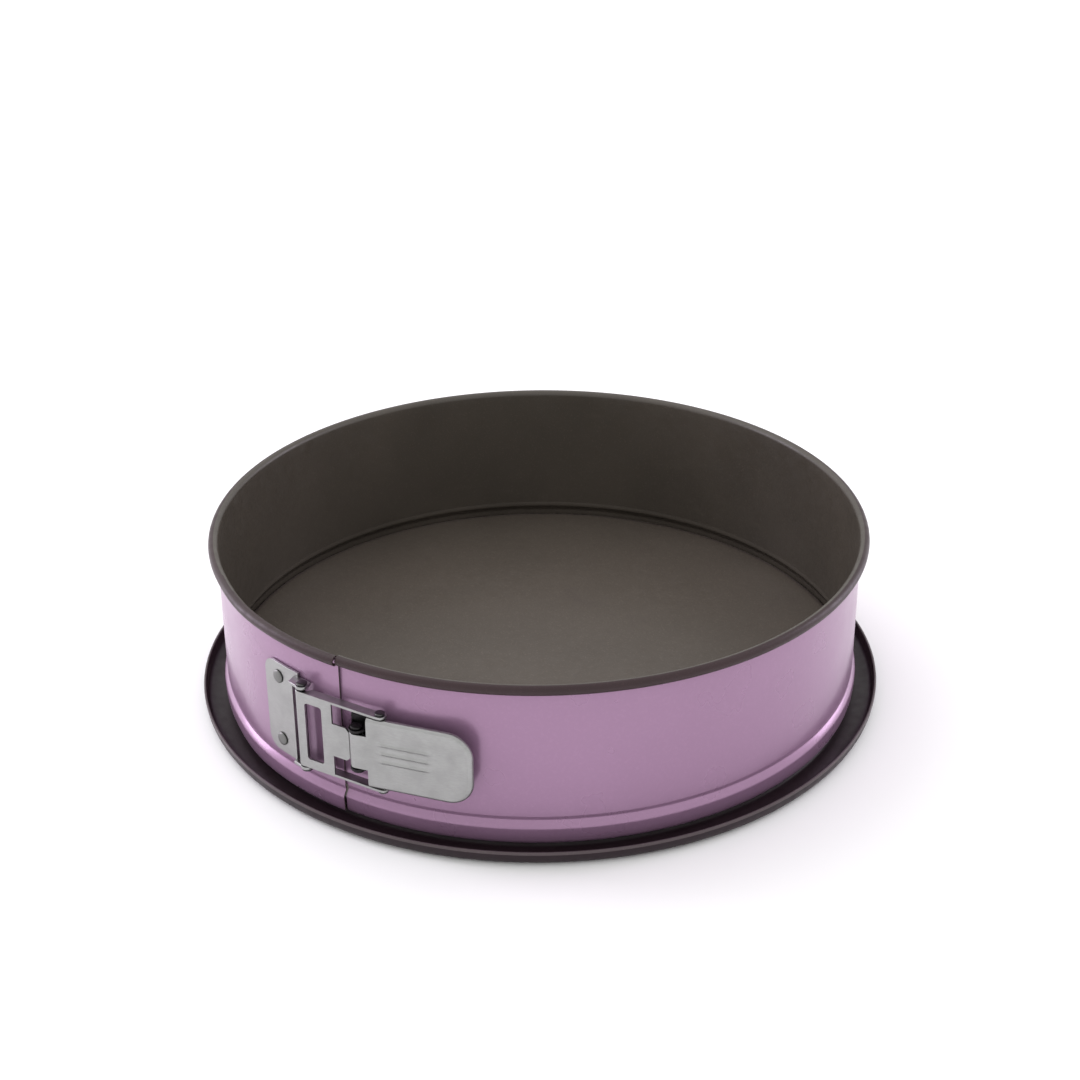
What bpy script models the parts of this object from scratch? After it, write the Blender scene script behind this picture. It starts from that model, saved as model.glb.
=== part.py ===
"""Springform pan, 26 cm: a split ring with a toggle clasp round a rimmed base plate.

Metres, Z up. The pan stands on Z = 0 and its axis is the Z axis; the clasp is at the
front (-Y). Angles round the ring run from -Y towards +X.
"""

import math

import bmesh
import bpy
from mathutils import Vector

MM = 0.001

# ---- sizes: millimetres and degrees ----------------------------------------------------
SHEET = 0.6             # ring sheet
WALL_R = 130.3          # middle of the ring's sheet, so 260 mm inside
RING_TOP = 72.0
BEAD_R = 1.7            # rolled top bead, middle of the sheet
BEAD_TURN = 280.0
BEAD_STEPS = 8
# lower edge, bulge that takes the floor's edge, and crease: offset from WALL_R and height
GROOVE = (
    (0.0, 4.2), (0.6, 4.9), (1.0, 6.6), (1.3, 9.2), (1.2, 10.8),
    (0.5, 12.4), (-0.3, 13.2), (-0.3, 13.9), (0.0, 14.6),
)
TONGUE_LOW = 15.4       # plain tongue under the lap
TONGUE_HIGH = 66.4
RING_STEPS = 72
LAP_EDGE = -1.8         # edge of the outer end of the ring
RIGHT_START = -1.55     # where the inner end has its full section
TONGUE_END = -12.4
LAP_RAMP = (-37.5, -22.5)
LAP_OUT = 0.95          # how far the outer end stands off the inner one

BASE_SHEET = 0.8
FLOOR_TOP = 9.0
FLOOR_EDGE = 130.8
FOOT_IN = 129.6
FOOT_OUT = 136.6
RIM_R = 140.6
RIM_TOP = 6.4

CLASP_Z = 37.6          # mid height of every clasp part
GAP = 0.3               # clearance between pieces that touch
PLATE = 1.0             # clasp sheet

PIVOT = (135.6, 2.5)    # lever pivot: radius and angle
ANCHOR_AXIS = (135.2, -8.4)
LEVER_DIR = 12.0        # direction of the closed lever, from +X
LINK_ARM = 9.5          # lever pivot to link pin
LEVER_PIN_R = 1.5
LINK_PIN_R = 1.2
ANCHOR_PIN_R = 1.3

LEVER_START = 4.9       # wide part of the lever, from its pivot
LEVER_LENGTH = 45.4
LEVER_HALF = 14.3
LEVER_CORNER = 9.5
NECK_HALF = 7.2
LEVER_EAR = 0.9

LINK_HALF = 16.2
LINK_WEB_END = 14.8     # from the anchor pin
LINK_TAB = (22.3, 7.0)  # middle tab of the web: end and half height
LINK_WINDOW = (2.6, 10.2, 12.2)  # start, end and half height
LINK_SHEET = 0.9
HOOK_END = 152.0        # how far the hook closes round the anchor pin

BRACKET = (0.4, 14.2)   # angles of the bracket plate
BRACKET_HALF = 11.6
BRACKET_EAR = (7.8, 8.8)
BRACKET_RIVETS = ((8.2, 7.6), (8.2, -7.6), (12.6, 7.6), (12.6, -7.6))

ANCHOR = (-19.2, -10.4)  # angles of the anchor plate
ANCHOR_HALF = 19.8
ANCHOR_CORNER = 6.0
ANCHOR_LUG = (16.9, 18.1)
ANCHOR_RIVETS = (("upper", -15.4, 13.8), ("lower", -15.4, -13.8))

RIVET_SHANK = 1.4
RIVET_HEAD = 2.7
RIVET_HEAD_T = 0.9
RIVET_TAIL = 2.4
RIVET_TAIL_T = 0.5
RIVET_HOLE = 1.7


# ---- scene -----------------------------------------------------------------------------
for old in list(bpy.data.objects):
    bpy.data.objects.remove(old, do_unlink=True)

PARTS = bpy.data.collections.new("springform_pan")
CUTTERS = bpy.data.collections.new("cutters")
for group in (PARTS, CUTTERS):
    bpy.context.scene.collection.children.link(group)


def material(name, colour, roughness, metallic):
    mat = bpy.data.materials.new(name)
    mat.use_nodes = True
    shader = mat.node_tree.nodes["Principled BSDF"]
    shader.inputs["Base Color"].default_value = (*colour, 1.0)
    shader.inputs["Roughness"].default_value = roughness
    shader.inputs["Metallic"].default_value = metallic
    return mat


LILAC = material("lilac_enamel", (0.42, 0.24, 0.40), 0.28, 0.1)
INSIDE = material("nonstick_inside", (0.06, 0.045, 0.035), 0.45, 0.2)
BASE = material("nonstick_base", (0.055, 0.042, 0.036), 0.42, 0.2)
STEEL = material("clasp_steel", (0.55, 0.55, 0.54), 0.32, 1.0)
RIVET = material("rivet_steel", (0.45, 0.45, 0.44), 0.38, 1.0)
PIN = material("pin_steel", (0.5, 0.5, 0.5), 0.3, 1.0)


# ---- helpers ---------------------------------------------------------------------------
def polar(radius, angle):
    """Plan point at an angle from the front."""
    a = math.radians(angle)
    return radius * math.sin(a), -radius * math.cos(a)


def arc(radius, start, end, count, centre=(0.0, 0.0)):
    """Plan points of an arc, angles from +X."""
    points = []
    for i in range(count + 1):
        t = math.radians(start + (end - start) * i / count)
        points.append((centre[0] + radius * math.cos(t), centre[1] + radius * math.sin(t)))
    return points


def place(name, mesh, mats, at=(0.0, 0.0, 0.0), turn=(0.0, 0.0, 0.0), group=PARTS):
    """Object at a place in mm and a rotation in degrees."""
    obj = bpy.data.objects.new(name, mesh)
    obj.location = [v * MM for v in at]
    obj.rotation_euler = [math.radians(v) for v in turn]
    for mat in mats:
        mesh.materials.append(mat)
    group.objects.link(obj)
    return obj


def finish(bm, name):
    mesh = bpy.data.meshes.new(name)
    bm.to_mesh(mesh)
    bm.free()
    mesh.shade_smooth()
    mesh.set_sharp_from_angle(angle=math.radians(35))
    return mesh


def chain(bm, points):
    """Edges through points given in mm."""
    verts = [bm.verts.new([v * MM for v in p]) for p in points]
    return [bm.edges.new(pair) for pair in zip(verts, verts[1:])]


def solidify(obj, thickness, offset=0.0, inner_slot=0):
    mod = obj.modifiers.new("sheet", "SOLIDIFY")
    mod.thickness = thickness * MM
    mod.offset = offset
    mod.use_even_offset = True
    mod.material_offset = inner_slot
    return obj


def turned(name, profile, mats, steps, **where):
    """Profile (radius, height), running down its outer side, turned round local Z."""
    bm = bmesh.new()
    chain(bm, [(r, 0.0, z) for r, z in profile])
    obj = place(name, finish(bm, name), mats, **where)
    mod = obj.modifiers.new("turn", "SCREW")
    mod.angle = math.radians(360.0)
    mod.steps = steps
    mod.render_steps = steps
    mod.use_merge_vertices = True
    mod.merge_threshold = 0.00001
    return obj


def bent_sheet(name, line, low, high, thickness, **where):
    """Sheet bent along a plan line, standing between two heights."""
    bm = bmesh.new()
    edges = chain(bm, [(x, y, low) for x, y in line])
    grown = bmesh.ops.extrude_edge_only(bm, edges=edges)["geom"]
    verts = [v for v in grown if isinstance(v, bmesh.types.BMVert)]
    bmesh.ops.translate(bm, verts=verts, vec=(0.0, 0.0, (high - low) * MM))
    bmesh.ops.recalc_face_normals(bm, faces=bm.faces)
    return solidify(place(name, finish(bm, name), [STEEL], **where), thickness)


def flat_plate(name, outline, thickness, at, turn=(0.0, 0.0, 0.0)):
    """Flat outline in local XY; its middle plane is at the given place."""
    curve = bpy.data.curves.new(name, "CURVE")
    curve.dimensions = "2D"
    curve.fill_mode = "BOTH"
    curve.extrude = thickness * MM / 2
    spline = curve.splines.new("POLY")
    spline.points.add(len(outline) - 1)
    for point, (x, y) in zip(spline.points, outline):
        point.co = (x * MM, y * MM, 0.0, 1.0)
    spline.use_cyclic_u = True
    drawn = bpy.data.objects.new(name + "_outline", curve)
    PARTS.objects.link(drawn)
    bpy.context.view_layer.update()
    mesh = bpy.data.meshes.new_from_object(drawn.evaluated_get(bpy.context.evaluated_depsgraph_get()))
    bpy.data.objects.remove(drawn, do_unlink=True)
    mesh.materials.clear()
    bm = bmesh.new()
    bm.from_mesh(mesh)
    bmesh.ops.remove_doubles(bm, verts=bm.verts, dist=1e-7)
    bmesh.ops.recalc_face_normals(bm, faces=bm.faces)
    bm.to_mesh(mesh)
    bm.free()
    return place(name, mesh, [STEEL], at=at, turn=turn)


def fuse(obj, others):
    """Join helper pieces into obj as one solid."""
    for other in others:
        mod = obj.modifiers.new("join", "BOOLEAN")
        mod.operation = "UNION"
        mod.object = other
    bpy.context.view_layer.update()
    mesh = bpy.data.meshes.new_from_object(obj.evaluated_get(bpy.context.evaluated_depsgraph_get()))
    obj.modifiers.clear()
    obj.data = mesh
    for other in others:
        bpy.data.objects.remove(other, do_unlink=True)
    mesh.shade_smooth()
    mesh.set_sharp_from_angle(angle=math.radians(35))
    return obj


def drill(objects, radius, start, end):
    """Round hole between two points in mm."""
    axis = Vector(end) - Vector(start)
    bm = bmesh.new()
    bmesh.ops.create_cone(
        bm, cap_ends=True, segments=20, radius1=radius * MM, radius2=radius * MM, depth=axis.length * MM
    )
    hole = place("hole", finish(bm, "hole"), [], at=[(p + q) / 2 for p, q in zip(start, end)], group=CUTTERS)
    hole.rotation_euler = axis.to_track_quat("Z", "Y").to_euler()
    hole.hide_render = True
    hole.display_type = "WIRE"
    for obj in objects:
        mod = obj.modifiers.new("hole", "BOOLEAN")
        mod.operation = "DIFFERENCE"
        mod.object = hole


def cut_out(obj, outline, thickness, at, turn):
    """Cut a flat outline through a piece."""
    tool = flat_plate("cutter", outline, thickness, at, turn)
    PARTS.objects.unlink(tool)
    CUTTERS.objects.link(tool)
    tool.hide_render = True
    tool.display_type = "WIRE"
    mod = obj.modifiers.new("cut", "BOOLEAN")
    mod.operation = "DIFFERENCE"
    mod.object = tool


def outward(spot, distance, direction):
    """Place at mid height, a distance outwards from a pivot of a piece lying along a direction."""
    t = math.radians(direction)
    return spot[0] + distance * math.sin(t), spot[1] - distance * math.cos(t), CLASP_Z


def axis_empty(name, x, y, parent=None):
    """Empty on a joint's axis, which the moving pieces hang from."""
    empty = bpy.data.objects.new(name, None)
    empty.location = (x * MM, y * MM, 0.0)
    PARTS.objects.link(empty)
    if parent:
        hang([empty], parent)
    return empty


def hang(objects, parent):
    bpy.context.view_layer.update()
    for obj in objects:
        obj.parent = parent
        obj.matrix_parent_inverse = parent.matrix_world.inverted()


# ---- base plate ------------------------------------------------------------------------
def make_base():
    t = BASE_SHEET / 2
    mid = FLOOR_TOP - t
    profile = [
        (0.0, mid),
        (FLOOR_EDGE - 1.3, mid),
        (FLOOR_EDGE - 0.6, mid - 0.25),
        (FLOOR_EDGE - t, mid - 1.0),
        (FLOOR_EDGE - 0.9, mid - 2.3),
        (FLOOR_EDGE - 2.3, mid - 3.4),
        (FLOOR_EDGE - 3.3, mid - 5.0),
        (FOOT_IN - 1.4, t + 1.5),
        (FOOT_IN - 0.4, t + 0.3),
        (FOOT_IN + 0.8, t),
        (FOOT_OUT, t),
        (FOOT_OUT + 2.4, t + 0.7),
        (RIM_R - 0.5, t + 2.4),
        (RIM_R, RIM_TOP - 0.9),
        (RIM_R - 0.2, RIM_TOP),
    ]
    obj = turned("base_plate", profile, [BASE], RING_STEPS)
    return solidify(obj, BASE_SHEET)


# ---- ring ------------------------------------------------------------------------------
def lap_offset(angle):
    """How far the sheet stands out at an angle, to pass over the inner end."""
    start, end = 360.0 + LAP_RAMP[0], 360.0 + LAP_RAMP[1]
    share = min(max((angle - start) / (end - start), 0.0), 1.0)
    return LAP_OUT * share * share * (3 - 2 * share)


def make_band():
    section = [(WALL_R + dr, z) for dr, z in GROOVE]
    section += [(WALL_R, TONGUE_LOW), (WALL_R, TONGUE_HIGH)]
    bead = (WALL_R + BEAD_R, RING_TOP - BEAD_R - SHEET / 2)
    section += arc(BEAD_R, 180.0, 180.0 - BEAD_TURN, BEAD_STEPS, bead)
    bm = bmesh.new()
    edges = chain(bm, [(*polar(r, RIGHT_START), z) for r, z in section])
    start = list(bm.verts) + edges
    bmesh.ops.spin(
        bm,
        geom=start,
        axis=(0.0, 0.0, 1.0),
        angle=math.radians(360.0 + LAP_EDGE - RIGHT_START),
        steps=RING_STEPS,
    )
    # the outer end lies over the inner one
    for vert in bm.verts:
        angle = math.degrees(math.atan2(vert.co.x, -vert.co.y)) % 360.0
        if angle < 360.0 + RIGHT_START - 0.1:
            radius = math.hypot(vert.co.x, vert.co.y)
            grow = 1.0 + lap_offset(angle) * MM / radius
            vert.co.x *= grow
            vert.co.y *= grow
    # plain tongue that goes on under the lap
    height = (TONGUE_HIGH - TONGUE_LOW) * MM
    first = [e for e in bm.edges if e.is_boundary and abs(e.calc_length() - height) < 1e-5]
    first = [e for e in first if abs(math.hypot(*e.verts[0].co.xy) - WALL_R * MM) < 1e-5]
    bmesh.ops.spin(
        bm,
        geom=first[:1] + list(first[0].verts),
        axis=(0.0, 0.0, 1.0),
        angle=math.radians(TONGUE_END - RIGHT_START),
        steps=4,
    )
    bmesh.ops.remove_doubles(bm, verts=bm.verts, dist=1e-7)
    bmesh.ops.recalc_face_normals(bm, faces=bm.faces)
    wall = max(bm.faces, key=lambda f: f.calc_area())
    if wall.normal.dot(wall.calc_center_median()) < 0:
        bmesh.ops.reverse_faces(bm, faces=bm.faces)
    obj = place("band", finish(bm, "band"), [LILAC, INSIDE])
    return solidify(obj, SHEET, inner_slot=1)


# ---- clasp -----------------------------------------------------------------------------
P = polar(*PIVOT)
H = polar(*ANCHOR_AXIS)
Q = (
    P[0] + LINK_ARM * math.cos(math.radians(LEVER_DIR)),
    P[1] + LINK_ARM * math.sin(math.radians(LEVER_DIR)),
)
LINK_DIR = math.degrees(math.atan2(Q[1] - H[1], Q[0] - H[0]))
LINK_LENGTH = math.hypot(Q[0] - H[0], Q[1] - H[1])


def make_lever():
    """Local axes: X along the closed lever, -Y outwards, origin on the pivot."""
    mid = LEVER_PIN_R + GAP + PLATE / 2
    at, turn = (P[0], P[1], CLASP_Z), (0.0, 0.0, LEVER_DIR)
    curl = [(LEVER_START + 3.0, -mid)] + arc(mid, -90.0, -330.0, 12)
    lever = bent_sheet("lever", curl, -NECK_HALF, NECK_HALF, PLATE, at=at, turn=turn)
    c = LEVER_CORNER
    outline = [(LEVER_START, -LEVER_HALF)]
    outline += arc(c, -90.0, 0.0, 6, (LEVER_LENGTH - c, c - LEVER_HALF))
    outline += arc(c, 0.0, 90.0, 6, (LEVER_LENGTH - c, LEVER_HALF - c))
    outline += [(LEVER_START, LEVER_HALF)]
    pieces = [flat_plate("plate", outline, PLATE, outward(P, mid, LEVER_DIR), (90.0, 0.0, LEVER_DIR))]
    ear = [(LEVER_START + 0.3, -mid)] + arc(2.4, 180.0, 0.0, 8, (LINK_ARM, 0.0)) + [(LINK_ARM + 5.5, -mid)]
    for side in (1, -1):
        height = CLASP_Z + side * (LEVER_HALF - LEVER_EAR / 2 - 0.01)
        pieces.append(flat_plate("ear", ear, LEVER_EAR, (P[0], P[1], height), turn))
    fuse(lever, pieces)
    drill([lever], LINK_PIN_R + GAP, (*Q, CLASP_Z - 18.0), (*Q, CLASP_Z + 18.0))
    return lever


def make_link():
    """Local axes: X from the anchor pin to the link pin, -Y outwards, origin on the link pin."""
    mid = ANCHOR_PIN_R + GAP + LINK_SHEET / 2
    at, turn = (Q[0], Q[1], CLASP_Z), (0.0, 0.0, LINK_DIR)
    far = -LINK_LENGTH
    line = [(far + LINK_WEB_END, -mid)] + arc(mid, -90.0, -HOOK_END, 5, (far, 0.0))
    link = bent_sheet("link", line, -LINK_HALF, LINK_HALF, LINK_SHEET, at=at, turn=turn)
    outer = -mid - LINK_SHEET / 2 + 0.05
    arm = [(far + 1.2, outer), (-1.0, outer)] + arc(2.5, -60.0, 90.0, 6)
    arm += [(-3.0, 1.5), (far + 3.8, 1.5)]
    face = outward(Q, mid, LINK_DIR)
    upright = (90.0, 0.0, LINK_DIR)
    end, half = far + LINK_TAB[0], LINK_TAB[1]
    root = far + LINK_WEB_END - 1.0
    tab = [(root, -half), (end, -half), (end, half), (root, half)]
    pieces = [flat_plate("tab", tab, LINK_SHEET, face, upright)]
    for side in (1, -1):
        height = CLASP_Z + side * (LINK_HALF - PLATE / 2 - 0.01)
        pieces.append(flat_plate("arm", arm, PLATE, (Q[0], Q[1], height), turn))
    fuse(link, pieces)
    start, end, half = far + LINK_WINDOW[0], far + LINK_WINDOW[1], LINK_WINDOW[2]
    cut_out(link, [(start, -half), (end, -half), (end, half), (start, half)], 2.0, face, upright)
    drill([link], LINK_PIN_R + GAP, (*Q, CLASP_Z - 20.0), (*Q, CLASP_Z + 20.0))
    return link


def curved_sheet(name, radius, a0, a1, half):
    """Sheet of the clasp's thickness that follows the ring; radius is its inner face."""
    mid = radius + PLATE / 2
    line = arc(mid, a0 - 90.0, a1 - 90.0, max(round((a1 - a0) / 3), 1))
    return bent_sheet(name, line, CLASP_Z - half, CLASP_Z + half, PLATE)


def make_bracket():
    inner = WALL_R + SHEET / 2 + GAP
    bracket = curved_sheet("bracket", inner, *BRACKET, BRACKET_HALF)
    a = PIVOT[1]
    ear = [polar(inner + 0.3, a - 1.9), polar(inner + 0.3, a + 4.5), polar(PIVOT[0] - 0.6, a + 1.7)]
    ear += arc(3.0, a - 30.0, a - 160.0, 7, P)
    pieces = []
    for side in (1, -1):
        height = CLASP_Z + side * sum(BRACKET_EAR) / 2
        pieces.append(flat_plate("ear", ear, BRACKET_EAR[1] - BRACKET_EAR[0], (0.0, 0.0, height)))
    fuse(bracket, pieces)
    drill([bracket], LEVER_PIN_R + GAP, (*P, CLASP_Z - 14.0), (*P, CLASP_Z + 14.0))
    return bracket


def make_anchor():
    inner = WALL_R + SHEET / 2 + LAP_OUT + GAP
    a0, a1 = ANCHOR
    anchor = curved_sheet("anchor_plate", inner, a0, a1, ANCHOR_HALF)
    # raised lip beside the pin, and a lug at each end of it that holds the pin
    lip = [polar(r, a) for r, a in (
        (inner + 0.3, a1 - 0.45), (ANCHOR_AXIS[0] + 0.6, a1 - 0.45),
        (ANCHOR_AXIS[0] + 0.6, a1 - 0.02), (inner + 0.3, a1 - 0.02))]
    pieces = [flat_plate("lip", lip, 2 * ANCHOR_LUG[1] - 0.1, (0.0, 0.0, CLASP_Z))]
    lug = [polar(inner + 0.2, a1 - 1.1), polar(inner + 0.2, ANCHOR_AXIS[1] + 0.7)]
    lug += arc(2.5, ANCHOR_AXIS[1] - 10.0, ANCHOR_AXIS[1] - 130.0, 7, H)
    lug += [polar(ANCHOR_AXIS[0] + 1.7, a1 - 0.3)]
    for side in (1, -1):
        height = CLASP_Z + side * sum(ANCHOR_LUG) / 2
        pieces.append(flat_plate("lug", lug, ANCHOR_LUG[1] - ANCHOR_LUG[0], (0.0, 0.0, height)))
    fuse(anchor, pieces)
    # the two far corners are rounded off
    c = ANCHOR_CORNER
    for side in (1, -1):
        corner = [(-2.0, c + 2.0), (-2.0, 0.0)] + arc(c, 180.0, 90.0, 6, (c, 0.0)) + [(c, c + 2.0)]
        corner = [(x, side * y) for x, y in corner]
        spot = (*polar(inner + 0.5, a0), CLASP_Z + side * (ANCHOR_HALF - c))
        cut_out(anchor, corner, 6.0, spot, (90.0, 0.0, a0))
    drill([anchor], ANCHOR_PIN_R + GAP, (*H, CLASP_Z - 21.0), (*H, CLASP_Z + 21.0))
    return anchor


def make_pin(name, centre, radius, half, head, head_t):
    """Straight pin with a small head pressed at each end."""
    profile = [
        (0.0, half),
        (head - 0.3, half),
        (head, half - 0.3),
        (head, half - head_t),
        (radius, half - head_t),
        (radius, head_t - half),
        (head, head_t - half),
        (head, 0.3 - half),
        (head - 0.3, -half),
        (0.0, -half),
    ]
    return turned(name, profile, [PIN], 20, at=(*centre, CLASP_Z))


def make_rivet(name, plates, angle, height, inside, outside):
    """Rivet through the ring and a plate: domed head outside, flat tail inside."""
    low, high = inside - 0.15, outside + 0.2
    profile = [
        (0.0, high + RIVET_HEAD_T),
        (RIVET_HEAD * 0.45, high + RIVET_HEAD_T),
        (RIVET_HEAD * 0.86, high + RIVET_HEAD_T * 0.5),
        (RIVET_HEAD, high),
        (RIVET_SHANK, high),
        (RIVET_SHANK, low),
        (RIVET_TAIL, low),
        (RIVET_TAIL - 0.2, low - RIVET_TAIL_T),
        (0.0, low - RIVET_TAIL_T),
    ]
    at = (0.0, 0.0, CLASP_Z + height)
    rivet = turned(name, profile, [RIVET], 16, at=at, turn=(90.0, 0.0, angle))
    top = CLASP_Z + height
    drill(plates, RIVET_HOLE, (*polar(inside - 4.0, angle), top), (*polar(outside + 4.0, angle), top))
    return rivet


base = make_base()
band = make_band()
bracket = make_bracket()
anchor = make_anchor()
lever = make_lever()
link = make_link()

lever_pin = make_pin("lever_pin", P, LEVER_PIN_R, BRACKET_EAR[1] + 1.1, 2.3, 0.8)
link_pin = make_pin("link_pin", Q, LINK_PIN_R, LINK_HALF + 1.1, 1.9, 0.8)
anchor_pin = make_pin("anchor_pin", H, ANCHOR_PIN_R, ANCHOR_LUG[1] + 1.1, 2.1, 0.8)

face_in = WALL_R - SHEET / 2
face_out = WALL_R + SHEET / 2 + GAP + PLATE
bracket_rivets = [
    make_rivet("bracket_rivet_%d" % (i + 1), [band, bracket], angle, height, face_in, face_out)
    for i, (angle, height) in enumerate(BRACKET_RIVETS)
]
anchor_rivets = [
    make_rivet("anchor_rivet_" + tag, [band, anchor], angle, height, face_in + LAP_OUT, face_out + LAP_OUT)
    for tag, angle, height in ANCHOR_RIVETS
]

# ---- joints ----------------------------------------------------------------------------
ring_lift = axis_empty("ring_lift_axis", 0.0, 0.0)
hang([band, bracket, lever_pin] + bracket_rivets, ring_lift)
end_flex = axis_empty("end_flex_axis", 0.0, WALL_R, ring_lift)
hang([anchor, anchor_pin] + anchor_rivets, end_flex)
lever_axis = axis_empty("lever_axis", P[0], P[1], ring_lift)
hang([lever, link_pin], lever_axis)
link_axis = axis_empty("link_axis", Q[0], Q[1], lever_axis)
hang([link], link_axis)
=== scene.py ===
"""Looks of the springform pan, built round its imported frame.

Metres, Z up. Shapes are written in millimetres and degrees and multiplied by MM. Angles
round the ring run from the front (-Y) towards +X, and the clasp is at the front.
"""

import math

import bmesh
import bpy
from mathutils import Matrix, Vector


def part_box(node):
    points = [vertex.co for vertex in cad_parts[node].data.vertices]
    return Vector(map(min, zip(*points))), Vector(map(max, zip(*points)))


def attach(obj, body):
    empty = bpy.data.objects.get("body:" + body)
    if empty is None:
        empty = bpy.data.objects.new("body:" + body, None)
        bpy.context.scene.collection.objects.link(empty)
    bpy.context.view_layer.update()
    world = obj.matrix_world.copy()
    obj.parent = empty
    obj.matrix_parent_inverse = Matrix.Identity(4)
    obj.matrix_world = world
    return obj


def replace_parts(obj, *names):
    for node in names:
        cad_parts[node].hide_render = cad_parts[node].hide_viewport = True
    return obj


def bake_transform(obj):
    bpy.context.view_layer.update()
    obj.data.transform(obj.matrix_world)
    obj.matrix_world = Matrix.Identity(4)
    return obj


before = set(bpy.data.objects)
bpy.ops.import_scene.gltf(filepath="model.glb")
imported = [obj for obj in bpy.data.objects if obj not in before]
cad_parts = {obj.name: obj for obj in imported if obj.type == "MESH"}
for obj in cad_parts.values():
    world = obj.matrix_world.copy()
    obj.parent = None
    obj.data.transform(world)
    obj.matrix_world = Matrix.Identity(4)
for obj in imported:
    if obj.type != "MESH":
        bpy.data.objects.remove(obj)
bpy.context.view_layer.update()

MM = 0.001
SHARP = 40.0                     # an edge that turns by more degrees is shaded sharp


# ---- sizes taken from the frame --------------------------------------------------------
def lowest(node):
    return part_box(node)[0] / MM


def highest(node):
    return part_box(node)[1] / MM


def middle(node):
    return (lowest(node) + highest(node)) / 2


P = middle("lever_pin")          # lever pivot
Q = middle("link_pin")
H = middle("anchor_pin")
CLASP_Z = P.z
RING_TOP = highest("band").z
RIM_EDGE = highest("base_plate").x

# ---- sizes of the sheets and of the clasp ----------------------------------------------
SHEET = 0.6                      # ring sheet
WALL_R = 130.3                   # middle of the sheet
BEAD_R = 1.7
BEAD_TURN = 280.0
BEAD_STEPS = 22
GROOVE = (                       # lower edge, bulge and crease: offset from WALL_R and height
    (0.5, 4.2), (0.95, 5.0), (1.15, 7.0), (1.28, 9.8), (1.3, 10.5), (1.1, 11.2),
    (0.35, 12.5), (-0.24, 13.2), (-0.24, 14.0), (0.0, 15.0),
)
GROOVE_ROUND = 0.7
TONGUE_LOW = 15.4                # plain part of the wall, where the inner end goes on under the lap
TONGUE_HIGH = RING_TOP - 5.6
TONGUE_END = -12.4               # degrees, as are the next four
LAP_EDGE = -1.75
RIGHT_START = -1.55
LAP_RAMP = (-37.5, -22.5)
RING_STEP = 1.0                  # between the sections
LAP_OUT = 0.95

BASE_SHEET = 0.8
FLOOR_TOP = 9.0
FLOOR_EDGE = 130.8
FOOT_IN = 129.6
FOOT_OUT = 136.6
RIM_R = RIM_EDGE - BASE_SHEET / 2
RIM_TOP = 6.4
LIP_HIGHLIGHT_HEIGHT = 1.1                 # edge of the rim, painted lighter as a highlight
FOOT_SHADE_HEIGHT = 2.5                  # foot and outward faces are painted darker: painted shade, the foot lying in the ring's shadow
SHADED_FACES_OUT = 0.3                  # cosine above which a face counts as outward and is painted darker as shade
BASE_ROUND = 1.1
BASE_COLUMNS = 360

GAP = 0.3                        # clearance of the clasp's moving pieces
PLATE = 1.0                      # clasp sheet
EDGE_ROUND = 0.16                # softened edge of the pressed pieces
HOLE_HALF = 24.0                 # half length of the pins' holes, longer than any piece
LEVER_DIR = 12.0                 # closed lever's direction from +X, degrees
LINK_ARM = 9.5
LEVER_PIN_R = 1.5
LINK_PIN_R = 1.2
ANCHOR_PIN_R = 1.3

LEVER_START = 4.9
LEVER_LENGTH = 45.4
LEVER_HALF = 14.3
LEVER_CORNER = 9.5
LEVER_RIM = ((0.0, 1.5), (0.0, 1.0), (0.08, 0.62), (0.32, 0.26), (0.75, 0.06), (1.3, 0.0))
NECK_HALF = 7.2
LEVER_EAR = 0.9
LEVER_EAR_R = 2.4
RIB = (9.0, 30.0, 1.0, 0.5)      # pressed grip ribs: start, end, half width, height
RIB_ROWS = (-2.2, 1.4, 5.0)

LINK_HALF = 16.2
LINK_WEB_END = 14.8
LINK_TAB = (22.3, 7.0, 1.5)      # from the anchor pin: end, half height, corner
LINK_SHEET = 0.9
LINK_ARM_R = 2.5
LINK_WINDOW = (2.6, 10.2, 12.2)  # from the anchor pin: start, end, half height
LINK_WINDOW_CORNER = 1.2
HOOK_END = 152.0

BRACKET = (0.4, 14.2)            # start and end round the ring, degrees
BRACKET_HALF = 11.6
BRACKET_EAR = (7.8, 8.8)         # faces of the ear, up from the clasp's middle
BRACKET_EAR_R = 3.0
BRACKET_RIVETS = ("bracket_rivet_1", "bracket_rivet_2", "bracket_rivet_3", "bracket_rivet_4")

ANCHOR = (-19.2, -10.4)          # start and end round the ring, degrees
ANCHOR_AXIS_R = 135.2
ANCHOR_AXIS = -8.4
ANCHOR_HALF = 19.8
ANCHOR_CORNER = 6.0
ANCHOR_LUG = (16.9, 18.1)
ANCHOR_LUG_R = 2.5
ANCHOR_RIVETS = ("anchor_rivet_upper", "anchor_rivet_lower")

RIVET_SHANK = 1.4
RIVET_HEAD = 2.7
RIVET_HEAD_T = 0.9
RIVET_TAIL = 2.4
RIVET_TAIL_T = 0.5
PIN_HEAD_T = 0.8
PIN_PROUD = 1.1                  # how far a pin's head stands past what holds it
SMALL_ROUND = 0.08               # softened edge of pins and rivets

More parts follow.
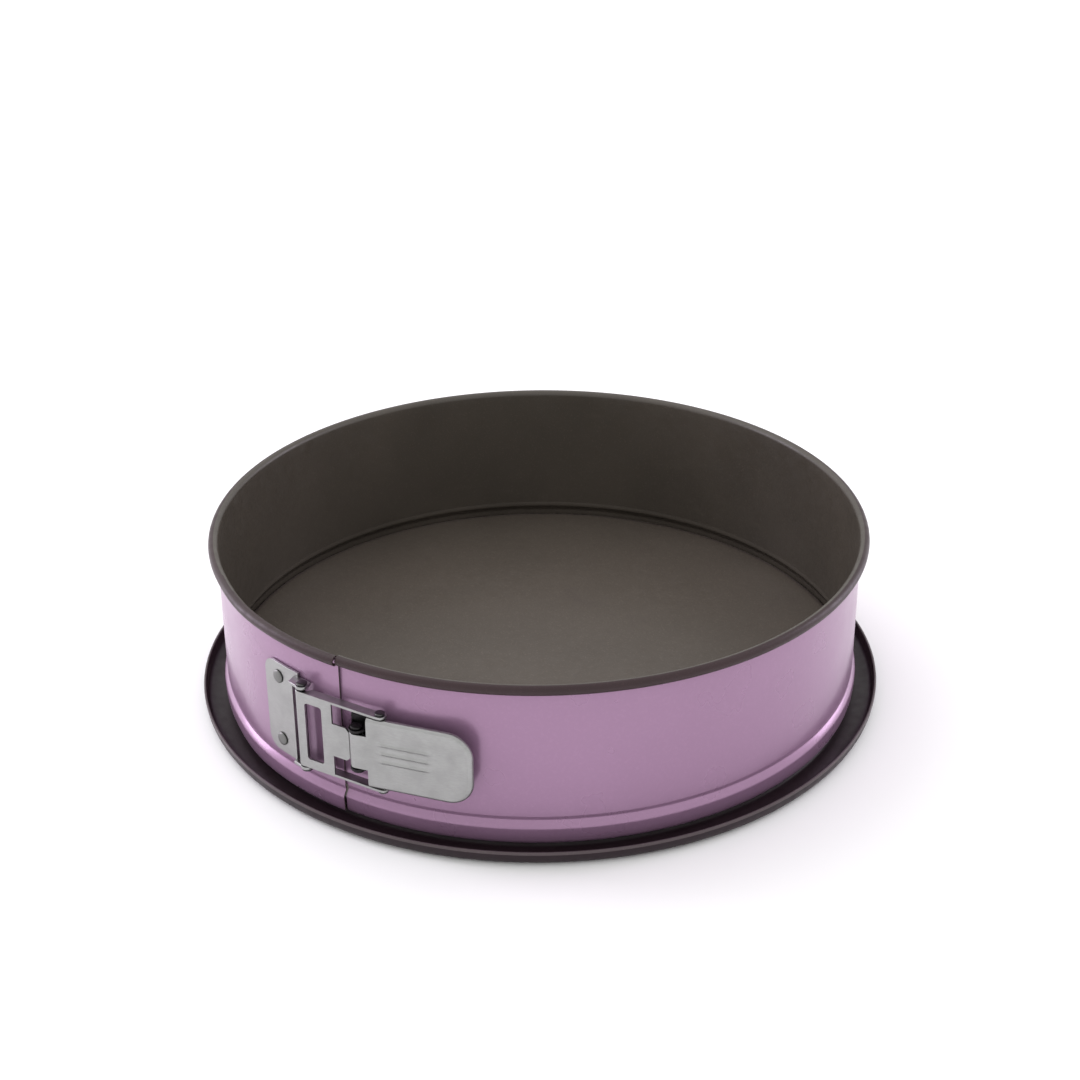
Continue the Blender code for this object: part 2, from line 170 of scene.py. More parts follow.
# ---- camera and light ------------------------------------------------------------------
CAMERA_ROUND = 32.0              # degrees from the front towards +X
CAMERA_OUT = 738.0
CAMERA_UP = 441.4
CAMERA_PITCH = 27.67
CAMERA_ROLL = -0.5
CAMERA_LENS = 67.3
CAMERA_SHIFT = (0.0009, 0.0139)
SENSOR = 36.0
WHITE = (1.0, 1.0, 1.0)
COOL = (0.92, 0.84, 1.0)
WORLD_LIGHT = 1.03
STAGE_Z = -0.02                  # just under the pan
LIGHT_AIM = Vector((0.0, 0.0, 0.03))
LIGHTS = (                       # name, degrees from the camera, out, up and size in metres, watts, tint
    ("key", -125.0, 1.2, 1.5, (1.4, 1.4), 7.0, WHITE),
    ("side_left", -105.0, 1.0, 0.3, (0.35, 0.8), 5.4, COOL),
    ("side_right", 110.0, 1.0, 0.3, (0.35, 0.8), 3.9, COOL),
)


# ---- shape helpers ---------------------------------------------------------------------
def polar(radius, angle):
    a = math.radians(angle)
    return radius * math.sin(a), -radius * math.cos(a)


def arc(radius, start, end, count, centre=(0.0, 0.0)):
    """Plan points of an arc, angles from +X."""
    points = []
    for i in range(count + 1):
        t = math.radians(start + (end - start) * i / count)
        points.append((centre[0] + radius * math.cos(t), centre[1] + radius * math.sin(t)))
    return points


def rounded(points, reach, steps=5):
    """Line with its inner corners turned into short curves."""
    line = [Vector(points[0])]
    for before, here, after in zip(points, points[1:], points[2:]):
        before, here, after = Vector(before), Vector(here), Vector(after)
        start = here.lerp(before, min(0.5, reach / (here - before).length))
        end = here.lerp(after, min(0.5, reach / (here - after).length))
        for i in range(steps + 1):
            t = i / steps
            line.append(start * (1 - t) ** 2 + here * 2 * t * (1 - t) + end * t * t)
    line.append(Vector(points[-1]))
    return [tuple(p) for p in line]


def steps_between(start, end, step):
    count = max(round(abs(end - start) / step), 1)
    return [start + (end - start) * i / count for i in range(count + 1)]


def new_object(name, bm, at=(0.0, 0.0, 0.0), turn=(0.0, 0.0, 0.0)):
    mesh = bpy.data.meshes.new(name)
    bm.to_mesh(mesh)
    bm.free()
    obj = bpy.data.objects.new(name, mesh)
    obj.location = [v * MM for v in at]
    obj.rotation_euler = [math.radians(v) for v in turn]
    bpy.context.scene.collection.objects.link(obj)
    return obj


def grid(name, rows, keep=None, **where):
    """Sheet through rows of points; keep(row, column) says which cells are wanted."""
    bm = bmesh.new()
    verts = [[bm.verts.new([v * MM for v in p]) for p in row] for row in rows]
    for j in range(len(rows) - 1):
        for i in range(len(rows[j]) - 1):
            if keep is None or keep(j, i):
                bm.faces.new((verts[j][i], verts[j + 1][i], verts[j + 1][i + 1], verts[j][i + 1]))
    bmesh.ops.delete(bm, geom=[v for v in bm.verts if not v.link_faces], context="VERTS")
    bmesh.ops.remove_doubles(bm, verts=bm.verts, dist=1e-7)
    return new_object(name, bm, **where)


def solidify(obj, thickness, back_slot=0):
    mod = obj.modifiers.new("sheet", "SOLIDIFY")
    mod.thickness = thickness * MM
    mod.offset = 0.0
    mod.use_even_offset = True
    mod.material_offset = back_slot
    mod.material_offset_rim = back_slot
    return obj


def soften(obj, width=EDGE_ROUND, segments=3, angle=50.0):
    mod = obj.modifiers.new("edge", "BEVEL")
    mod.width = width * MM
    mod.segments = segments
    mod.limit_method = "ANGLE"
    mod.angle_limit = math.radians(angle)
    return obj


def apply_modifiers(obj):
    bpy.context.view_layer.update()
    done = obj.evaluated_get(bpy.context.evaluated_depsgraph_get())
    obj.data = bpy.data.meshes.new_from_object(done)
    obj.modifiers.clear()


def settle(obj):
    """Put the modifiers and the place into the mesh."""
    apply_modifiers(obj)
    obj.data.transform(obj.matrix_world)
    obj.matrix_world = Matrix.Identity(4)
    obj.data.shade_smooth()
    obj.data.set_sharp_from_angle(angle=math.radians(SHARP))
    return obj


def coat(obj, mats):
    for mat in mats:
        obj.data.materials.append(mat)


def bent_sheet(name, line, low, high, thickness, **where):
    """Sheet bent along a plan line, standing between two heights."""
    rows = [[(x, y, z) for z in (low, high)] for x, y in line]
    return settle(soften(solidify(grid(name, rows, **where), thickness)))


def prism(name, outline, shift, **where):
    """Solid between a flat outline and the same outline shifted."""
    bm = bmesh.new()
    face = bm.faces.new([bm.verts.new([v * MM for v in p]) for p in outline])
    grown = bmesh.ops.extrude_face_region(bm, geom=[face])["geom"]
    verts = [v for v in grown if isinstance(v, bmesh.types.BMVert)]
    bmesh.ops.translate(bm, verts=verts, vec=[v * MM for v in shift])
    bmesh.ops.recalc_face_normals(bm, faces=bm.faces)
    return new_object(name, bm, **where)


def flat_plate(name, outline, thickness, at, turn=(0.0, 0.0, 0.0)):
    """Flat outline in local XY with softened edges; its middle plane is at the given place."""
    lower = [(x, y, -thickness / 2) for x, y in outline]
    return settle(soften(prism(name, lower, (0.0, 0.0, thickness), at=at, turn=turn)))


def turned(name, profile, count, **where):
    """Closed turned solid round local Z from a (radius, height) profile."""
    rows = []
    for i in range(count + 1):
        t = 2 * math.pi * i / count
        rows.append([(r * math.cos(t), r * math.sin(t), z) for r, z in profile])
    obj = grid(name, rows, **where)
    bm = bmesh.new()
    bm.from_mesh(obj.data)
    bmesh.ops.remove_doubles(bm, verts=bm.verts, dist=1e-6)
    bmesh.ops.recalc_face_normals(bm, faces=bm.faces)
    bm.to_mesh(obj.data)
    bm.free()
    return obj


def boolean(obj, other, operation):
    mod = obj.modifiers.new("cut", "BOOLEAN")
    mod.operation = operation
    mod.object = other
    settle(obj)
    bpy.data.objects.remove(other, do_unlink=True)
    return obj


def fuse(obj, others):
    for other in others:
        boolean(obj, other, "UNION")
    return obj


def drill(obj, radius, centre):
    """Upright hole through the whole clasp."""
    profile = [(0.0, HOLE_HALF), (radius, HOLE_HALF), (radius, -HOLE_HALF), (0.0, -HOLE_HALF)]
    return boolean(obj, turned("hole", profile, 48, at=(centre.x, centre.y, CLASP_Z)), "DIFFERENCE")


# ---- ring and base ---------------------------------------------------------------------
def ring_section():
    """Middle line of the ring's sheet, from its lower edge to the end of the rolled bead."""
    line = rounded([(WALL_R + dr, z) for dr, z in GROOVE] + [(WALL_R, TONGUE_LOW)], GROOVE_ROUND)
    line += [(WALL_R, z) for z in steps_between(TONGUE_LOW, TONGUE_HIGH, 8.0)[1:]]
    bead = (WALL_R + BEAD_R, RING_TOP - BEAD_R - SHEET / 2)
    return line + arc(BEAD_R, 180.0, 180.0 - BEAD_TURN, BEAD_STEPS, bead)


def lap_offset(angle):
    """How far the sheet stands out, to pass over the inner end."""
    share = min(max((angle - LAP_RAMP[0]) / (LAP_RAMP[1] - LAP_RAMP[0]), 0.0), 1.0)
    return LAP_OUT * share * share * (3 - 2 * share)


def ring_row(angle, out=0.0):
    return [(*polar(r + out, angle), z) for r, z in ring_section()]


def coat_bead(obj):
    """The rolled bead has the base's darker coating."""
    for polygon in obj.data.polygons:
        spot = polygon.center / MM
        if spot.z > TONGUE_HIGH + 1.0 and spot.to_2d().length > WALL_R + LAP_OUT + 0.5:
            polygon.material_index = 2


def make_ring_right(mats):
    """From the lap to the back, with the plain tongue that goes on under the lap."""
    tongue = steps_between(TONGUE_END, RIGHT_START, RING_STEP)[:-1]
    angles = tongue + steps_between(RIGHT_START, 180.0, RING_STEP)
    heights = [z for _, z in ring_section()]
    spans = enumerate(zip(heights, heights[1:]))
    plain = [i for i, (low, high) in spans if low > TONGUE_LOW - 0.1 and high < TONGUE_HIGH + 0.1]
    obj = grid("ring_right", [ring_row(a) for a in angles], lambda j, i: j >= len(tongue) or i in plain)
    coat(obj, mats)
    coat_bead(settle(solidify(obj, SHEET, back_slot=1)))
    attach(obj, "ring")
    return obj


def make_ring_left(mats):
    """From the back to the edge that lies over the tongue."""
    angles = steps_between(-180.0, LAP_EDGE, RING_STEP)
    obj = grid("ring_left", [ring_row(a, lap_offset(a)) for a in angles])
    coat(obj, mats)
    coat_bead(settle(solidify(obj, SHEET, back_slot=1)))
    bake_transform(obj)
    return obj


def make_base(mats):
    """Pressed plate; mats are for its face, its foot and outer sides painted darker as shade, and the
    rim's edge painted lighter as a highlight.
    """
    t = BASE_SHEET / 2
    mid = FLOOR_TOP - t
    corners = [
        (FLOOR_EDGE - 5.0, mid),
        (FLOOR_EDGE - 1.3, mid),
        (FLOOR_EDGE - 0.6, mid - 0.25),
        (FLOOR_EDGE - t, mid - 1.0),
        (FLOOR_EDGE - 0.9, mid - 2.3),
        (FLOOR_EDGE - 2.3, mid - 3.4),
        (FLOOR_EDGE - 3.3, mid - 5.0),
        (FOOT_IN - 1.4, t + 1.5),
        (FOOT_IN - 0.4, t + 0.3),
        (FOOT_IN + 0.8, t),
        (FOOT_OUT, t),
        (FOOT_OUT + 2.4, t + 0.7),
        (RIM_R - 0.5, t + 2.4),
        (RIM_R, RIM_TOP - 0.9),
        (RIM_R - 0.2, RIM_TOP),
    ]
    floor = [(FLOOR_EDGE * share, mid) for share in (0.0, 0.25, 0.5, 0.75, 0.9)]
    profile = floor + rounded(corners, BASE_ROUND, 4)
    obj = turned("base_sheet", profile, BASE_COLUMNS)
    coat(obj, mats)
    settle(soften(solidify(obj, BASE_SHEET), 0.2))
    for polygon in obj.data.polygons:
        outwards = Vector((*polygon.center.xy, 0.0))
        facing = polygon.normal.dot(outwards.normalized())
        radius, height = outwards.length / MM, polygon.center.z / MM
        outer = radius > FOOT_IN - 4.0
        # the rim's edge gets a lighter copy of the coating: a painted highlight
        if radius > FOOT_OUT and height > RIM_TOP - LIP_HIGHLIGHT_HEIGHT:
            polygon.material_index = 2
        # the foot in the ring's shadow and the outward faces get a darker copy of the coating: painted
        # shade
        elif outer and (facing > SHADED_FACES_OUT or height < FOOT_SHADE_HEIGHT):
            polygon.material_index = 1
    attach(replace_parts(obj, "base_plate"), "base")


# ---- clasp -----------------------------------------------------------------------------
def dress(obj, mat, node, body):
    """Material, slot, the node it stands for and the body it rides on."""
    mod = obj.modifiers.new("even_shade", "WEIGHTED_NORMAL")
    mod.keep_sharp = True
    apply_modifiers(obj)
    obj.data.materials.clear()
    obj.data.materials.append(mat)
    for polygon in obj.data.polygons:
        polygon.material_index = 0
    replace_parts(obj, node)
    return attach(obj, body)


def lever_edge(inset):
    """Outline of the wide part, open at the pivot end, as (along, height)."""
    c = LEVER_CORNER - inset
    along, half = LEVER_LENGTH - LEVER_CORNER, LEVER_HALF - LEVER_CORNER
    straight = [(x, -LEVER_HALF + inset) for x in steps_between(LEVER_START, along, 1.0)[:-1]]
    lower = arc(c, -90.0, 0.0, 16, (along, -half))
    line = straight + lower
    return line + [(x, -z) for x, z in reversed(line)]


def rib_height(x, z):
    """Relief of the grip ribs on the lever's face."""
    start, end, half, height = RIB
    ends = max(min((x - start) / half, (end - x) / half, 1.0), 0.0)
    near = min(abs(z - row) for row in RIB_ROWS) / half
    return height * ends * (0.5 + 0.5 * math.cos(math.pi * min(near, 1.0)))


def lever_face(bm, loop, mid):
    """Fills the pressed rim's inner loop with a fine sheet that carries the ribs."""
    count = len(loop) // 2
    reach = abs(loop[0].co.z) / MM
    spread = {-1.0, 1.0}
    for row in RIB_ROWS:
        spread.update((row + RIB[2] * step) / reach for step in (-1.0, -0.5, 0.0, 0.5, 1.0))
    spread = sorted(spread)
    lines = []
    for low, high in zip(loop[:count], reversed(loop[count:])):
        x, z = low.co.x / MM, abs(low.co.z) / MM
        spots = [(x, -mid - rib_height(x, z * t), z * t) for t in spread[1:-1]]
        lines.append([low, *(bm.verts.new([v * MM for v in spot]) for spot in spots), high])
    for a, b in zip(lines, lines[1:]):
        for i in range(len(spread) - 1):
            bm.faces.new((a[i], b[i], b[i + 1], a[i + 1]))


def make_lever(steel):
    """Local axes: X along the closed lever, -Y outwards, origin on the pivot."""
    mid = LEVER_PIN_R + GAP + PLATE / 2
    at, turn = (P.x, P.y, CLASP_Z), (0.0, 0.0, LEVER_DIR)
    bm = bmesh.new()
    loops = []
    for inset, drop in LEVER_RIM:
        loops.append([bm.verts.new((x * MM, (drop - mid) * MM, z * MM)) for x, z in lever_edge(inset)])
    for outer, inner in zip(loops, loops[1:]):
        for i in range(len(outer) - 1):
            bm.faces.new((outer[i], outer[i + 1], inner[i + 1], inner[i]))
    lever_face(bm, loops[-1], mid)
    bmesh.ops.recalc_face_normals(bm, faces=bm.faces)
    lever = settle(soften(solidify(new_object("lever_plate", bm, at=at, turn=turn), PLATE)))
    curl = [(LEVER_START + 4.0, -mid)] + arc(mid, -90.0, -330.0, 40)
    pieces = [bent_sheet("neck", curl, -NECK_HALF, NECK_HALF, PLATE, at=at, turn=turn)]
    ear = [(LEVER_START + 0.3, -mid)] + arc(LEVER_EAR_R, 180.0, 0.0, 20, (LINK_ARM, 0.0))
    ear += [(LINK_ARM + 5.5, -mid)]
    for side in (1, -1):
        height = CLASP_Z + side * (LEVER_HALF - LEVER_EAR / 2 - 0.01)
        pieces.append(flat_plate("ear", ear, LEVER_EAR, (P.x, P.y, height), turn))
    fuse(lever, pieces)
    drill(lever, LINK_PIN_R + GAP, Q)
    dress(lever, steel, "lever", "lever")


def make_link(steel):
    """Local axes: X from the anchor pin to the link pin, -Y outwards, origin on the link pin."""
    mid = ANCHOR_PIN_R + GAP + LINK_SHEET / 2
    run = (Q - H).to_2d()
    direction = math.degrees(math.atan2(run.y, run.x))
    far = -run.length
    at, turn = (Q.x, Q.y, CLASP_Z), (0.0, 0.0, direction)
    line = [(far + LINK_WEB_END, -mid)] + arc(mid, -90.0, -HOOK_END, 14, (far, 0.0))
    link = bent_sheet("link_plate", line, -LINK_HALF, LINK_HALF, LINK_SHEET, at=at, turn=turn)
    outer = -mid - LINK_SHEET / 2 + 0.05
    arm = [(far + 1.2, outer), (-1.0, outer)] + arc(LINK_ARM_R, -60.0, 90.0, 16)
    arm += [(-3.0, 1.5), (far + 3.8, 1.5)]
    t = math.radians(direction)
    face = (Q.x + mid * math.sin(t), Q.y - mid * math.cos(t), CLASP_Z)
    end, half, cut = LINK_TAB
    root, tip = far + LINK_WEB_END - 1.0, far + end
    tab = [(root, -half), (tip - cut, -half), (tip, cut - half)]
    tab += [(x, -z) for x, z in reversed(tab)]
    pieces = [flat_plate("tab", tab, LINK_SHEET, face, (90.0, 0.0, direction))]
    for side in (1, -1):
        height = CLASP_Z + side * (LINK_HALF - PLATE / 2 - 0.01)
        pieces.append(flat_plate("arm", arm, PLATE, (Q.x, Q.y, height), turn))
    fuse(link, pieces)
    start, end, half = LINK_WINDOW
    c = LINK_WINDOW_CORNER
    window = arc(c, 180.0, 270.0, 6, (far + start + c, c - half))
    window += arc(c, 270.0, 360.0, 6, (far + end - c, c - half))
    window += [(x, -z) for x, z in reversed(window)]
    window = [(x, -4.0, z) for x, z in window]
    boolean(link, prism("window", window, (0.0, 3.5, 0.0), at=at, turn=turn), "DIFFERENCE")
    drill(link, LINK_PIN_R + GAP, Q)
    dress(link, steel, "link", "link")


def curved_sheet(name, radius, start, end, half):
    """Sheet that follows the ring; radius is its inner face."""
    line = arc(radius + PLATE / 2, start - 90.0, end - 90.0, max(round(end - start), 1))
    return bent_sheet(name, line, CLASP_Z - half, CLASP_Z + half, PLATE)


def make_bracket(steel):
    """Plate behind the lever's neck, with the two ears that hold its pin."""
    inner = WALL_R + SHEET / 2 + GAP
    bracket = curved_sheet("bracket_plate", inner, *BRACKET, BRACKET_HALF)
    radius = P.to_2d().length
    a = math.degrees(math.atan2(P.x, -P.y))
    ear = [polar(inner + 0.3, a - 1.9), polar(inner + 0.3, a + 4.5), polar(radius - 0.6, a + 1.7)]
    ear += arc(BRACKET_EAR_R, a - 30.0, a - 160.0, 18, P)
    pieces = []
    for side in (1, -1):
        height = CLASP_Z + side * sum(BRACKET_EAR) / 2
        pieces.append(flat_plate("ear", ear, BRACKET_EAR[1] - BRACKET_EAR[0], (0.0, 0.0, height)))
    fuse(bracket, pieces)
    drill(bracket, LEVER_PIN_R + GAP, P)
    dress(bracket, steel, "bracket", "ring")


def make_anchor(steel):
    """Plate on the band's end, with a raised lip, two lugs and rounded corners."""
    inner = WALL_R + SHEET / 2 + LAP_OUT + GAP
    start, end = ANCHOR
    anchor = curved_sheet("anchor_sheet", inner, start, end, ANCHOR_HALF)
    low, high = inner + 0.3, ANCHOR_AXIS_R + 0.6
    near, edge = end - 0.45, end - 0.02
    lip = [polar(low, near), polar(high, near), polar(high, edge), polar(low, edge)]
    pieces = [flat_plate("lip", lip, 2 * ANCHOR_LUG[1] - 0.1, (0.0, 0.0, CLASP_Z))]
    lug = [polar(inner + 0.2, end - 1.1), polar(inner + 0.2, ANCHOR_AXIS + 0.7)]
    lug += arc(ANCHOR_LUG_R, ANCHOR_AXIS - 10.0, ANCHOR_AXIS - 130.0, 16, H)
    lug += [polar(ANCHOR_AXIS_R + 1.7, end - 0.3)]
    for side in (1, -1):
        height = CLASP_Z + side * sum(ANCHOR_LUG) / 2
        pieces.append(flat_plate("lug", lug, ANCHOR_LUG[1] - ANCHOR_LUG[0], (0.0, 0.0, height)))
    fuse(anchor, pieces)
    c = ANCHOR_CORNER
    for side in (1, -1):
        corner = [(-2.0, c + 2.0), (-2.0, 0.0)] + arc(c, 180.0, 90.0, 16, (c, 0.0)) + [(c, c + 2.0)]
        corner = [(x, side * y, -3.0) for x, y in corner][::side]
        spot = (*polar(inner + 0.5, start), CLASP_Z + side * (ANCHOR_HALF - c))
        cutter = prism("corner", corner, (0.0, 0.0, 6.0), at=spot, turn=(90.0, 0.0, start))
        boolean(anchor, cutter, "DIFFERENCE")
    drill(anchor, ANCHOR_PIN_R + GAP, H)
    dress(anchor, steel, "anchor_plate", "band_end")


def make_pin(mat, node, body, centre, radius, held, head):
    """Straight pin with a domed head at each end; held is half the height of what it goes through."""
    half = held + PIN_PROUD
    dome = [(head * math.sin(t), half - 0.35 * (1 - math.cos(t))) for t in (0.0, 0.4, 0.8, 1.2, 1.57)]
    upper = dome + [(head, half - PIN_HEAD_T), (radius, half - PIN_HEAD_T)]
    profile = upper + [(r, -z) for r, z in reversed(upper)]
    pin = turned(node + "_shape", profile, 40, at=(centre.x, centre.y, CLASP_Z))
    settle(soften(pin, SMALL_ROUND, 2))
    dress(pin, mat, node, body)


def make_rivet(mat, node, body, out):
    """Rivet through the ring and a plate: domed head outside, flat tail inside."""
    spot = middle(node)
    angle = math.degrees(math.atan2(spot.x, -spot.y))
    high = WALL_R + SHEET / 2 + GAP + PLATE + out + 0.2
    low = WALL_R - SHEET / 2 + out - 0.15
    turns = [math.radians(10.0 * i) for i in range(9)]
    dome = [(RIVET_HEAD * math.sin(t), high + RIVET_HEAD_T * math.cos(t) ** 0.8) for t in turns]
    profile = dome + [(RIVET_HEAD, high), (RIVET_SHANK, high), (RIVET_SHANK, low), (RIVET_TAIL, low)]
    profile += [(RIVET_TAIL - 0.2, low - RIVET_TAIL_T), (0.0, low - RIVET_TAIL_T)]
    rivet = turned(node + "_shape", profile, 36, at=(0.0, 0.0, spot.z), turn=(90.0, 0.0, angle))
    settle(soften(rivet, SMALL_ROUND, 2))
    dress(rivet, mat, node, body)


# ---- materials -------------------------------------------------------------------------
class Material:
    """A Principled material and the nodes that vary it."""

    def __init__(self, name, colour, roughness, **sockets):
        self.mat = bpy.data.materials.new(name)
        self.mat.use_nodes = True
        self.tree = self.mat.node_tree
        self.shader = self.tree.nodes["Principled BSDF"]
        self.shader.inputs["Base Color"].default_value = (*colour, 1.0)
        self.shader.inputs["Roughness"].default_value = roughness
        for key, value in sockets.items():
            self.shader.inputs[key.replace("_", " ")].default_value = value
        self.coords = self.tree.nodes.new("ShaderNodeTexCoord").outputs["Object"]
        self.height = None

    def node(self, kind, **inputs):
        made = self.tree.nodes.new(kind)
        for key, value in inputs.items():
            self.feed(made.inputs[key.replace("_", " ")], value)
        return made

    def feed(self, socket, value):
        if isinstance(value, bpy.types.NodeSocket):
            self.tree.links.new(value, socket)
        else:
            socket.default_value = value

    def noise(self, scale, detail=2.0, stretch=None, rough=0.5):
        """Noise with about one feature per 1/scale metres, drawn out along an axis by stretch."""
        where = self.coords
        if stretch:
            where = self.node("ShaderNodeMapping", Vector=where, Scale=stretch).outputs["Vector"]
        made = self.node("ShaderNodeTexNoise", Vector=where, Scale=scale, Detail=detail, Roughness=rough)
        return made.outputs["Fac"]

    def ranged(self, value, low, high, out_low, out_high):
        made = self.tree.nodes.new("ShaderNodeMapRange")
        for socket, v in zip(made.inputs, (value, low, high, out_low, out_high)):
            self.feed(socket, v)
        return made.outputs["Result"]

    def blend(self, share, first, second):
        made = self.tree.nodes.new("ShaderNodeMix")
        made.data_type = "RGBA"
        self.feed(made.inputs[0], share)
        self.feed(made.inputs[6], first if isinstance(first, bpy.types.NodeSocket) else (*first, 1.0))
        self.feed(made.inputs[7], second if isinstance(second, bpy.types.NodeSocket) else (*second, 1.0))
        return made.outputs[2]

    def calc(self, operation, first, second):
        made = self.tree.nodes.new("ShaderNodeMath")
        made.operation = operation
        self.feed(made.inputs[0], first)
        self.feed(made.inputs[1], second)
        return made.outputs[0]

    def bump(self, value, depth, strength=1.0):
        """Adds a relief of that depth in metres."""
        made = self.node("ShaderNodeBump", Height=value, Distance=depth, Strength=strength)
        if self.height is not None:
            self.tree.links.new(self.height, made.inputs["Normal"])
        self.height = made.outputs["Normal"]
        self.tree.links.new(self.height, self.shader.inputs["Normal"])

    def set(self, socket, value):
        self.feed(self.shader.inputs[socket], value)


def lighter(colour, factor):
    return tuple(c * factor for c in colour)


def lilac_enamel():
    """Slightly metallic lacquer with faint clouds and flecks."""
    colour = (0.322, 0.186, 0.300)
    m = Material("lilac_enamel", colour, 0.3, Metallic=0.4, Coat_Weight=0.2, Coat_Roughness=0.08)
    clouds = m.ranged(m.noise(14.0), 0.25, 0.75, 0.0, 1.0)
    tone = m.blend(clouds, lighter(colour, 0.96), lighter(colour, 1.04))
    flecks = m.ranged(m.noise(700.0, 3.0), 0.5, 0.75, 0.0, 0.3)
    m.set("Base Color", m.blend(flecks, tone, lighter(colour, 1.2)))
    m.set("Roughness", m.ranged(m.noise(55.0, 3.0), 0.25, 0.75, 0.25, 0.34))
    m.bump(m.noise(520.0, 2.0), 0.00003, 0.5)
    return m.mat


def nonstick(name, colour, roughness, floor=None, gloss=0.5):
    """Satin coating; floor is a lighter colour painted where the raised floor of the base is, a painted
    reflection of the bright surroundings.
    """
    m = Material(name, colour, roughness, Specular_IOR_Level=gloss)
    clouds = m.ranged(m.noise(22.0, 3.0), 0.32, 0.68, 0.0, 1.0)
    tone = m.blend(clouds, lighter(colour, 0.9), lighter(colour, 1.1))
    if floor:
        flat = m.node("ShaderNodeVectorMath", Vector=m.coords)
        flat.operation = "MULTIPLY"
        flat.inputs[1].default_value = (1.0, 1.0, 0.0)
        length = m.node("ShaderNodeVectorMath", Vector=flat.outputs[0])
        length.operation = "LENGTH"
        # the raised floor is painted lighter than the rim: a painted reflection
        edge = FLOOR_EDGE * MM
        inner = m.ranged(length.outputs["Value"], edge - 0.003, edge, 1.0, 0.0)
        tone = m.blend(inner, tone, m.blend(clouds, lighter(floor, 0.95), lighter(floor, 1.05)))
    specks = m.ranged(m.noise(1500.0, 2.0), 0.58, 0.7, 0.0, 0.45)
    tone = m.blend(specks, tone, lighter(floor or colour, 1.7))
    rubbed = m.ranged(m.noise(35.0, 5.0, (1.0, 1.0, 3.0), 0.7), 0.6, 0.78, 0.0, 0.3)
    m.set("Base Color", m.blend(rubbed, tone, lighter(colour, 1.5)))
    m.set("Roughness", m.ranged(m.noise(260.0, 4.0), 0.3, 0.7, roughness - 0.06, roughness + 0.08))
    m.bump(m.noise(1100.0, 3.0), 0.00004, 0.55)
    return m.mat


def steel(name, colour, roughness, stretch):
    """Rolled sheet or drawn wire: fine lines along an axis, and duller stains."""
    m = Material(name, colour, roughness, Metallic=1.0)
    lines = m.noise(420.0, 5.0, stretch, 0.6)
    stain = m.ranged(m.noise(120.0, 4.0), 0.45, 0.72, 0.0, 0.5)
    tone = m.blend(m.ranged(lines, 0.3, 0.7, 0.0, 1.0), lighter(colour, 0.88), lighter(colour, 1.08))
    m.set("Base Color", m.blend(stain, tone, lighter(colour, 0.78)))
    base = m.ranged(lines, 0.3, 0.7, roughness - 0.05, roughness + 0.07)
    m.set("Roughness", m.calc("ADD", base, m.calc("MULTIPLY", stain, 0.18)))
    m.bump(lines, 0.00002, 0.5)
    m.bump(m.noise(700.0, 2.0), 0.00001, 0.5)
    return m.mat


def studio_floor():
    m = Material("studio_floor", (0.97, 0.97, 0.97), 0.8)
    tone = m.ranged(m.noise(3.0), 0.3, 0.7, 0.965, 0.975)
    m.set("Base Color", m.blend(tone, (0.0, 0.0, 0.0), (1.0, 1.0, 1.0)))
    return m.mat


# ---- studio ----------------------------------------------------------------------------
def make_camera():
    data = bpy.data.cameras.new("camera")
    data.lens = CAMERA_LENS
    data.sensor_width = SENSOR
    data.shift_x, data.shift_y = CAMERA_SHIFT
    data.clip_start, data.clip_end = 0.01, 50.0
    camera = bpy.data.objects.new("camera", data)
    camera.location = (*(v * MM for v in polar(CAMERA_OUT, CAMERA_ROUND)), CAMERA_UP * MM)
    turn = Matrix.Rotation(math.radians(CAMERA_ROUND), 3, "Z")
    turn = turn @ Matrix.Rotation(math.radians(90.0 - CAMERA_PITCH), 3, "X")
    camera.rotation_euler = (turn @ Matrix.Rotation(math.radians(CAMERA_ROLL), 3, "Z")).to_euler()
    bpy.context.scene.collection.objects.link(camera)
    bpy.context.scene.camera = camera


def soft_light(name, angle, out, up, size, watts, tint):
    """Rectangular soft light; angle is round the pan from the camera's side, positive to the right."""
    data = bpy.data.lights.new(name, "AREA")
    data.shape = "RECTANGLE"
    data.size, data.size_y = size
    data.energy = watts
    data.color = tint
    light = bpy.data.objects.new(name, data)
    x, y = polar(out, CAMERA_ROUND + angle)
    light.location = (x, y, up)
    light.rotation_euler = (LIGHT_AIM - light.location).to_track_quat("-Z", "Y").to_euler()
    bpy.context.scene.collection.objects.link(light)


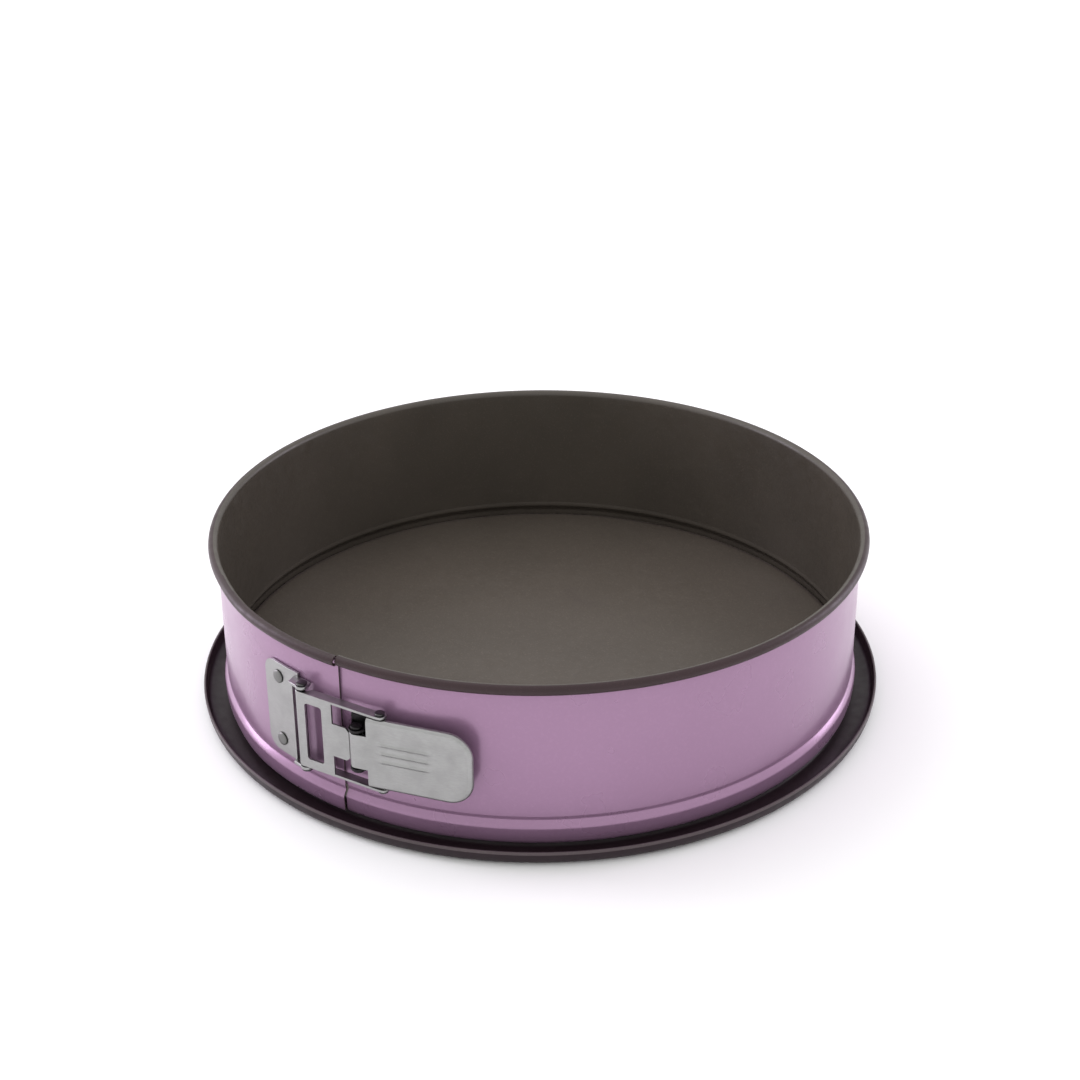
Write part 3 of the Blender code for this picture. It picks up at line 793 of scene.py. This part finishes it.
def make_studio():
    bm = bmesh.new()
    bmesh.ops.create_grid(bm, x_segments=8, y_segments=8, size=6.0)
    floor = new_object("studio_floor", bm, at=(0.0, 0.0, STAGE_Z))
    floor.data.materials.append(studio_floor())
    world = bpy.data.worlds.new("studio")
    world.use_nodes = True
    background = world.node_tree.nodes["Background"]
    background.inputs["Color"].default_value = (*WHITE, 1.0)
    background.inputs["Strength"].default_value = WORLD_LIGHT
    bpy.context.scene.world = world
    for light in LIGHTS:
        soft_light(*light)
    bpy.context.scene.view_settings.view_transform = "Standard"


make_camera()
make_studio()

LILAC = lilac_enamel()
INSIDE = nonstick("nonstick_inside", (0.058, 0.048, 0.038), 0.42)
BEAD = nonstick("nonstick_bead", (0.034, 0.018, 0.020), 0.4, gloss=0.3)
# the raised floor's lighter colour is a painted reflection of the bright surroundings
BASE = nonstick("nonstick_base", (0.034, 0.024, 0.025), 0.38, floor=(0.088, 0.073, 0.060), gloss=0.3)
# darker copy of the base coating for the foot and outward faces: painted shade
OUTSIDE_SHADE = nonstick("nonstick_outside_painted_shade", (0.019, 0.010, 0.014), 0.42, gloss=0.25)
# lighter copy of the base coating for the rim's edge: a painted highlight
LIP_HIGHLIGHT = nonstick("nonstick_lip_painted_highlight", (0.070, 0.052, 0.056), 0.4, gloss=0.4)
PRESSED = steel("clasp_steel", (0.37, 0.37, 0.365), 0.34, (1.0, 1.0, 9.0))
# near-black steel for the bracket and the lever's pin: painted shade, so the hole behind the lever's
# neck reads as deep shadow
DARK_SHADE_STEEL = steel("bracket_steel_painted_shade", (0.035, 0.033, 0.034), 0.42, (1.0, 1.0, 9.0))
RIVET = steel("rivet_steel", (0.19, 0.19, 0.185), 0.4, (1.0, 1.0, 1.0))
# dark pin steel: painted shade, for the dark spots at the pins' heads and the link arms' ends
PIN_SHADE_STEEL = steel("pin_steel", (0.085, 0.083, 0.084), 0.3, (1.0, 1.0, 0.2))

right = make_ring_right([LILAC, INSIDE, BEAD])
left = make_ring_left([LILAC, INSIDE, BEAD])
for half in (right, left):
    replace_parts(half, "band")
make_base([BASE, OUTSIDE_SHADE, LIP_HIGHLIGHT])
# bracket in near-black steel: painted shade in the hole behind the lever
make_bracket(DARK_SHADE_STEEL)
make_anchor(PRESSED)
make_lever(PRESSED)
make_link(PRESSED)

make_pin(DARK_SHADE_STEEL, "lever_pin", "ring", P, LEVER_PIN_R, BRACKET_EAR[1], 2.3)
make_pin(PIN_SHADE_STEEL, "link_pin", "lever", Q, LINK_PIN_R, LINK_HALF, 1.9)
make_pin(PIN_SHADE_STEEL, "anchor_pin", "band_end", H, ANCHOR_PIN_R, ANCHOR_LUG[1], 2.1)
for rivet in BRACKET_RIVETS:
    make_rivet(RIVET, rivet, "ring", 0.0)
for rivet in ANCHOR_RIVETS:
    make_rivet(RIVET, rivet, "band_end", LAP_OUT)
